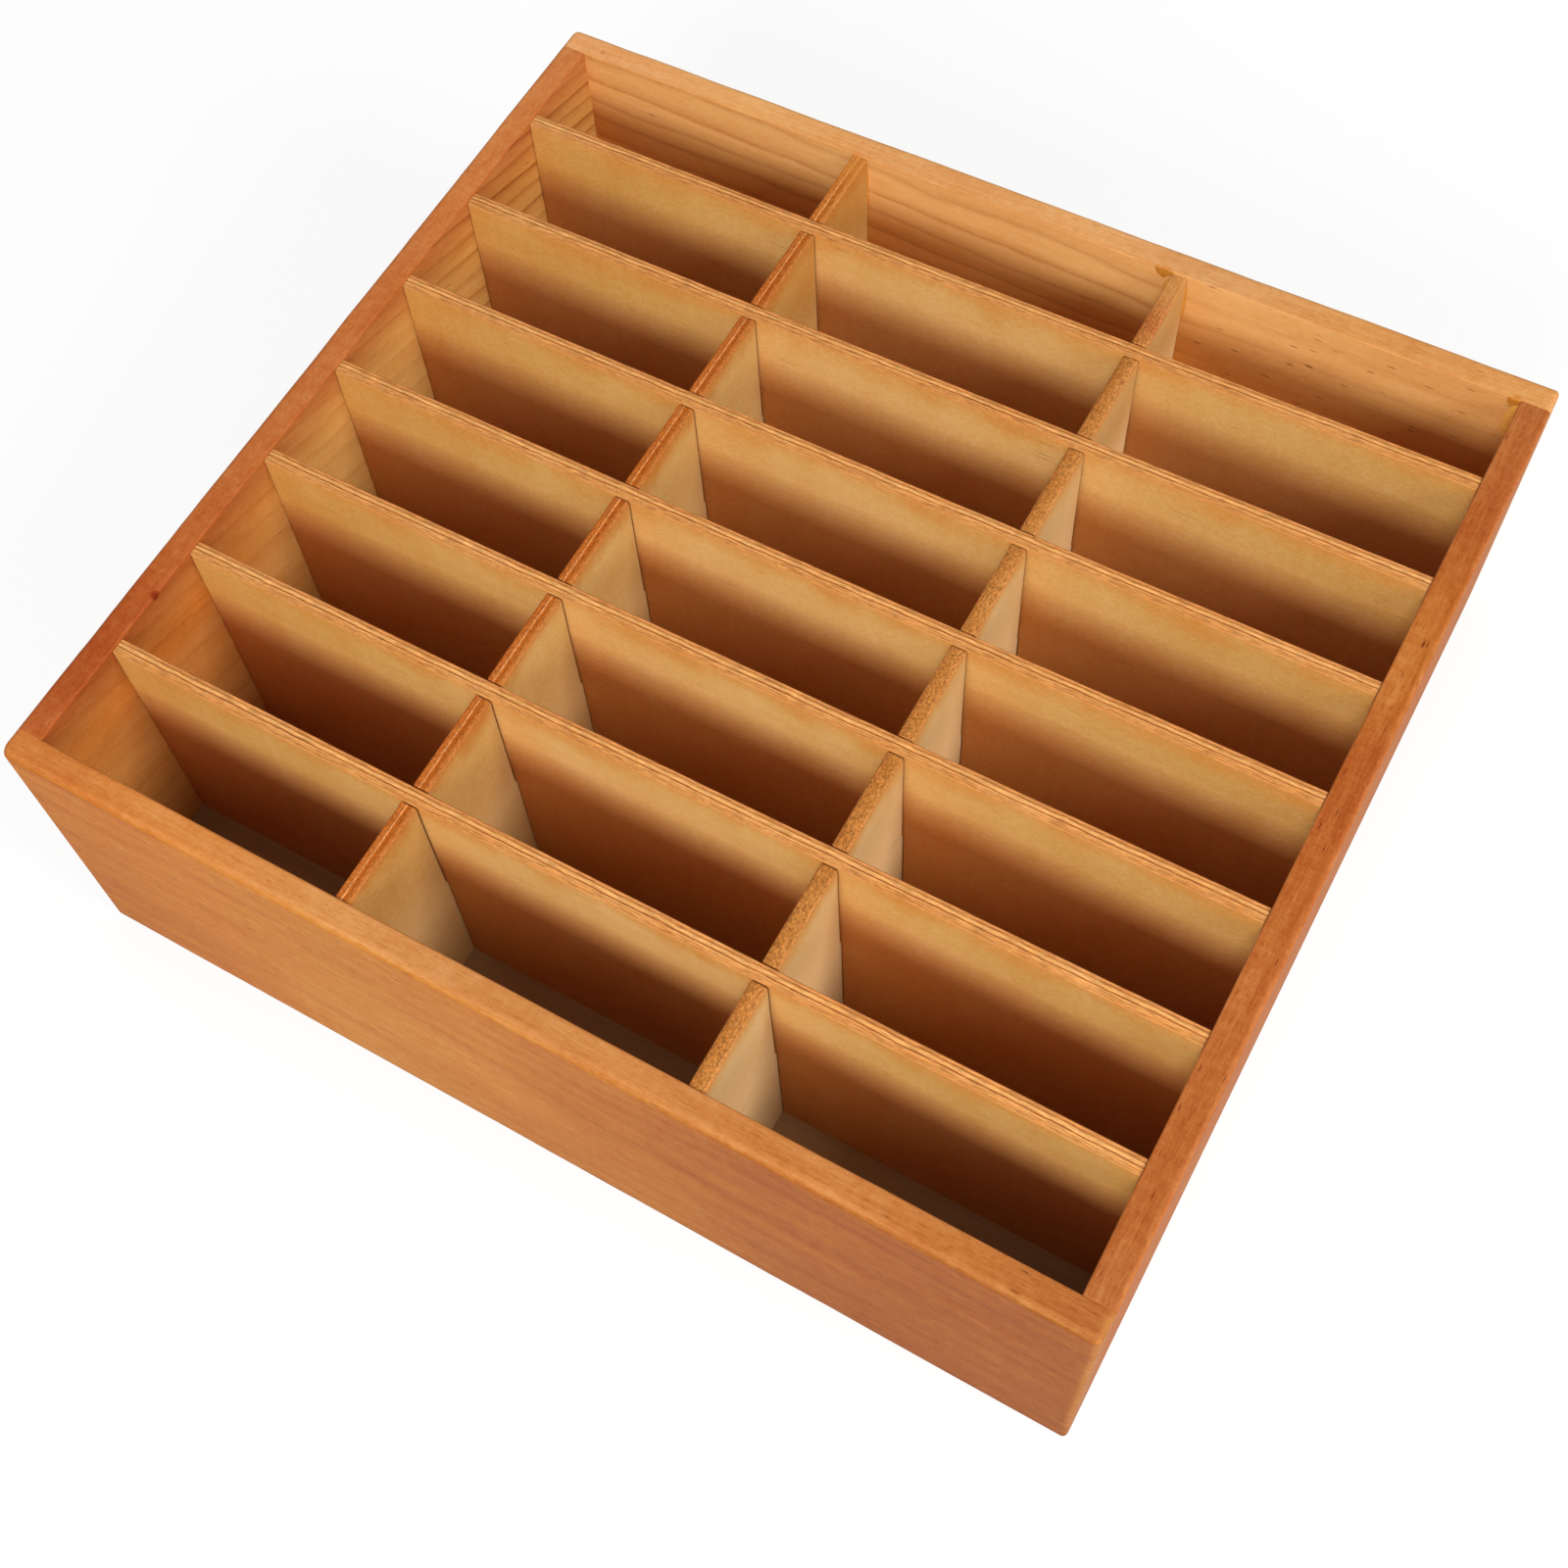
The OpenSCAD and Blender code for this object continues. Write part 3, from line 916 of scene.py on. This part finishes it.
LEFT_PINE = {
    "pith": (-118, 0, 40),
    "slant": -0.28,
    "ring": 6.2,
    "figure": 0.85,
    "late": LATE_CRISP,
    "plain": (70, 15),
    "fibre": 0.05,
    "ducts": (0.004, 0.008),
    "rim_ducts": 0.0,
    "rim_depth": 26.0,
    "early": "#D9A559",
    "late_wood": "#A0541C",
    "stain": "#CC9049",
    "deep": "#DCA45B",
    "end": "#A85C2C",
    "outside": "#FCEEF0",
    "duct": "#6A2C0E",
    "worn": "#E09A60",
    "brink": "#A04A1C",
    "shades": [
        (0.06, "#FBD6AF"), (0.16, "#EFBE95"), (0.3, "#EFBE95"), (0.42, "#FFFFFF"),
        (0.6, "#FFFFFF"), (0.75, "#F9EEE0"), (1.0, "#F9EEE0"),
    ],
    "rim_tints": [
        (0.06, "#C68D83"), (0.12, "#B67868"), (0.22, "#BC7D69"), (0.29, "#C99486"),
        (0.45, "#D1A49F"), (0.58, "#D1A199"), (0.7, "#DDB2AF"), (0.93, "#E4BDBE"),
    ],
    "lively": (0.6, 0.75),
    "scratches": 0.25,
    "spots": [((-161.2, -94.0, 111.4), 1.4, 0.85, "#701C04")],
}
RIGHT_PINE = {
    "pith": (118, 0, 60),
    "slant": 0.02,
    "ring": 3.0,
    "figure": 0.5,
    "late": LATE_SOFT,
    "plain": NO_FADE,
    "fibre": 0.07,
    "ducts": (0.05, 0.05),
    "rim_ducts": 0.09,
    "rim_depth": 0.1,
    "early": "#B87040",
    "late_wood": "#944C22",
    "stain": "#B06838",
    "deep": "#C88450",
    "end": "#A05828",
    "duct": "#6A2C0E",
    "worn": "#D08A54",
    "brink": "#BC6C38",
    "shades": [(0.0, "#F8EFBE"), (1.0, "#F8EFBE")],
    "rim_tints": [
        (0.06, "#DEDCC9"), (0.12, "#D9CBAA"), (0.3, "#DECEAA"), (0.42, "#DCC89C"),
        (0.48, "#D7BA8F"), (0.56, "#D7BA8F"), (0.61, "#E7DDA8"), (0.71, "#E7DDA8"),
        (0.79, "#D9BF97"), (0.93, "#DACBAA"),
    ],
    "lively": (0.9, 0.85),
    "scratches": 0.25,
    "spots": (),
}
LONG_PLY = {
    "face": "#DCAB6B",
    "streaked": "#CE9F59",
    "deep": "#DA9857",
    "sinks": (12.0, 36.0),
    "margin": "#CC8D44",
    "dash": "#8A5420",
    "worn": "#C89458",
    "shades": [
        (0.0, "#F1E4C3"), (0.18, "#F7F1DD"), (0.4, "#FFFFFF"), (0.6, "#FFFFFF"),
        (0.78, "#F4F2E6"), (1.0, "#ECE6D4"),
    ],
    "edge": [
        (0.0, "#BC7C40"), (0.1, "#B4763C"), (0.22, "#BE8044"), (0.27, "#B4743A"),
        (0.34, "#C2864A"), (0.43, "#BE8044"), (0.46, "#8A4C20"), (0.495, "#8A4C20"),
        (0.53, "#C08446"), (0.62, "#D2985A"), (0.7, "#C68C4E"), (0.76, "#A0602A"),
        (0.82, "#AC6E38"), (0.9, "#B87A42"), (1.0, "#9C5C28"),
    ],
    "edge_tints": [(0.0, "#FFFFFF")],
    "wavering": 0.9,
    "sanded": (2.0, 3.0, 1.0),
    "grit": [(0.0, 0.2), (0.1, 0.8), (0.9, 0.8), (1.0, 0.3)],
    "grit_size": (0.22, 3.0),
}
LEFT_PLY = {
    "face": "#CBA263",
    "streaked": "#C29654",
    "deep": "#D8A86A",
    "sinks": (16.0, 60.0),
    "margin": "#B87028",
    "dash": "#8A5420",
    "worn": "#C8A878",
    "shades": [(0.1, "#F3E9DA"), (0.3, "#FFFFFF"), (0.7, "#FFFFFF"), (0.8, "#EFDABC")],
    "edge": [
        (0.0, "#AA682F"), (0.06, "#9E561A"), (0.14, "#AD6325"), (0.34, "#AF6628"),
        (0.37, "#DBA164"), (0.4, "#DBA164"), (0.44, "#AD6121"), (0.52, "#A05617"),
        (0.67, "#A25817"), (0.74, "#B16C2C"), (0.9, "#B16F31"), (1.0, "#AF7338"),
    ],
    "edge_tints": [(0.8, "#F0DFD8"), (0.88, "#FFFFFF")],
    "wavering": 0.3,
    "sanded": (0.89, 0.92, 0.3),
    "grit": [(0.0, 0.2), (0.1, 0.9), (0.33, 0.9), (0.38, 1.2), (0.44, 0.9), (0.9, 0.6)],
    "grit_size": (1.2, 2.6),
}
RIGHT_PLY = {
    "face": "#D2B07A",
    "streaked": "#CAA46E",
    "deep": "#EAC288",
    "sinks": (10.0, 46.0),
    "margin": "#C68F4B",
    "dash": "#8A5420",
    "worn": "#C8A878",
    "shades": [(0.1, "#FFFFFF"), (0.7, "#FFFFFF"), (0.8, "#EEDABF")],
    "edge": [
        (0.0, "#A0652F"), (0.08, "#8C5220"), (0.2, "#9C6029"), (0.5, "#A2662C"),
        (0.66, "#AA6C32"), (0.8, "#AA6C32"), (1.0, "#AC7038"),
    ],
    "edge_tints": [(0.85, "#FFFFFF"), (0.87, "#FCE8F0"), (0.89, "#FCE4E6"), (0.93, "#FFF4F0")],
    "wavering": 0.6,
    "sanded": (0.88, 0.915, 0.6),
    "grit": [(0.0, 0.5), (0.12, 1.0), (0.85, 1.0), (1.0, 0.4)],
    "grit_size": (1.3, 1.9),
}

long_ply = varnished_plywood("poplar_plywood_honey_long", 0, LONG_PLY)
cross_ply = {
    CROSS_NODES[0]: varnished_plywood("poplar_plywood_honey_left", 1, LEFT_PLY),
    CROSS_NODES[1]: varnished_plywood("poplar_plywood_honey_right", 1, RIGHT_PLY),
}

# The boards: the axis that each runs along, its side of the box, its wood and its random seed
for name, along, side, wood, seed in (
    ("front", 0, -1, FRONT_PINE, 11),
    ("back", 0, 1, BACK_PINE, 23),
    ("left", 1, -1, LEFT_PINE, 37),
    ("right", 1, 1, RIGHT_PINE, 41),
):
    pine = stained_pine("pine_stained_amber_" + name, along, side, wood)
    board(name + "_board", along, side, pine, seed)
panel("bottom_panel", raw_plywood("plywood_unfinished_panel"))

# Columns of a strip's top edge: their places across, how deep their plies lie, how much these fray,
# all in millimetres
LONG_LAYERS = [
    [-1.95, -1.5, -1.0, -0.6, -0.3, -0.12, 0.08, 0.3, 0.7, 1.2, 1.45, 1.85, 2.05],
    [0.02, 0.05, 0.05, 0.03, 0.02, 0.16, 0.02, 0.0, 0.0, 0.02, 0.14, 0.14, 0.04],
    [0.05, 0.08, 0.08, 0.06, 0.05, 0.06, 0.05, 0.04, 0.04, 0.05, 0.08, 0.08, 0.06],
]
LEFT_LAYERS = [
    [-2.05, -1.85, -1.5, -1.1, -0.8, -0.65, -0.4, -0.25, 0.2, 0.7, 1.1, 1.4],
    [0.02, 0.08, 0.06, 0.08, 0.1, 0.0, 0.0, 0.1, 0.12, 0.1, 0.04, 0.03],
    [0.05, 0.06, 0.08, 0.08, 0.06, 0.03, 0.03, 0.06, 0.07, 0.07, 0.06, 0.05],
]
RIGHT_LAYERS = [
    [-2.05, -1.85, -1.4, -0.95, -0.5, -0.05, 0.4, 0.85, 1.2, 1.4],
    [0.02, 0.08, 0.04, 0.04, 0.04, 0.04, 0.04, 0.04, 0.03, 0.03],
    [0.05, 0.08, 0.12, 0.12, 0.12, 0.12, 0.12, 0.12, 0.08, 0.05],
]

for order, node in enumerate(LONG_NODES):
    divider(node, 0, LONG_LAYERS, (0.35, 0.35), long_ply, 100 + 40 * order)
for order, (node, layers) in enumerate(zip(CROSS_NODES, (LEFT_LAYERS, RIGHT_LAYERS))):
    divider(node, 1, layers, (0.35, 0.9), cross_ply[node], 500 + 40 * order)

amber_glue = dried_glue("wood_glue_dried_amber")
left_strip = span(CROSS_NODES[0])
right_strip = span(CROSS_NODES[1])
glue_drop("glue_drop_divider", (right_strip[0][0] - 2.9, 110.7), 3.0, 2.6, 0.1, amber_glue, 1.0)
glue_drop("glue_drop_corner", (RIGHT_FACE - 1.9, 110.7), 1.9, 2.2, 0.2, amber_glue, 2.0)
# Runs of glue: their corners, sides, lowest and highest points, widths, thickness and seeds
for place, corner, side, low, high, width, thick, seed in (
    ("corner", RIGHT_FACE, -1, 93.0, 110.0, 2.8, 0.0, 3),
    ("right_divider_left", right_strip[0][0], -1, 101.0, 109.0, 2.2, 0.2, 5),
    ("right_divider_right", right_strip[1][0], 1, 90.0, 109.0, 0.7, 0.5, 7),
    ("left_divider_right", left_strip[1][0], 1, 84.0, 110.0, 0.5, 0.6, 9),
):
    glue_run("glue_run_" + place, corner, side, low, high, width, thick, amber_glue, seed)

# Floor, just under the box, far larger than any view of it
floor_mesh = bpy.data.meshes.new("floor")
sides = ((-1, -1), (1, -1), (1, 1), (-1, 1))
floor_corners = [(FLOOR_REACH * x, FLOOR_REACH * y, -FLOOR_DROP) for x, y in sides]
floor_mesh.from_pydata(floor_corners, [], [(0, 1, 2, 3)])
floor_mesh.materials.append(pale_floor("paper_sweep"))
floor = new_object("floor", floor_mesh)

# Sky: even soft light, on the scale of the softboxes, and white where the camera or a gloss sees it
SKY_LIGHT = 0.51
sky = bpy.data.worlds.new("soft_sky")
sky.use_nodes = True
sky.node_tree.nodes.clear()
sky_light = add(sky.node_tree, "Background", {"Color": (1, 1, 1, 1), "Strength": SKY_LIGHT})
sky_white = add(sky.node_tree, "Background", {"Color": (1, 1, 1, 1), "Strength": 1.0})
sky_shown = {0: seen_rays(sky.node_tree), 1: sky_light, 2: sky_white}
add(sky.node_tree, "OutputWorld", {"Surface": add(sky.node_tree, "MixShader", sky_shown)})
bpy.context.scene.world = sky


def softbox(name, direction, distance, size, light):
    """Square softbox aimed at the box from a distance in metres: an even area light whose power
    lights a surface that faces it with the given light, where 1 shows a colour as it is written
    (power = pi squared times the squared distance times the light)."""
    lamp = bpy.data.lights.new(name, "AREA")
    lamp.shape = "SQUARE"
    lamp.size = size
    lamp.energy = math.pi**2 * distance**2 * light
    holder = new_object(name, lamp)
    aim = Vector(direction).normalized()
    holder.location = aim * distance + LOOK_AT
    holder.rotation_mode = "QUATERNION"
    holder.rotation_quaternion = (-aim).to_track_quat("-Z", "Y")
    holder.visible_camera = False


softbox("key_front", (0.1, -0.765, 0.6), 1.6, 0.56, 0.76)
softbox("key_right", (0.8, -0.06, 0.6), 1.6, 0.6, 0.7)

# The photograph's camera. It was cut out of a wider picture, so the lens axis isn't in its middle.
# The focal length is in pixels of the photograph, whose width is the picture's
FOCAL_PIXELS = 2222.11
PHOTO_PIXELS = 1600
camera_data = bpy.data.cameras.new("camera")
camera_data.sensor_width = 36.0
camera_data.lens = camera_data.sensor_width * FOCAL_PIXELS / PHOTO_PIXELS
camera_data.shift_x = 0.07
camera_data.shift_y = -0.05
camera = new_object("camera", camera_data)
right = Vector((0.86055, 0.50312, -0.07949))
up = Vector((-0.4062, 0.77202, 0.48886))
back = Vector((0.30732, -0.38841, 0.86873))
turned = Matrix((right, up, back)).transposed().to_4x4()
turned.translation = Vector((179.78, -290.72, 639.43)) * MM
camera.matrix_world = turned
bpy.context.scene.camera = camera
bpy.context.scene.view_settings.view_transform = "Standard"
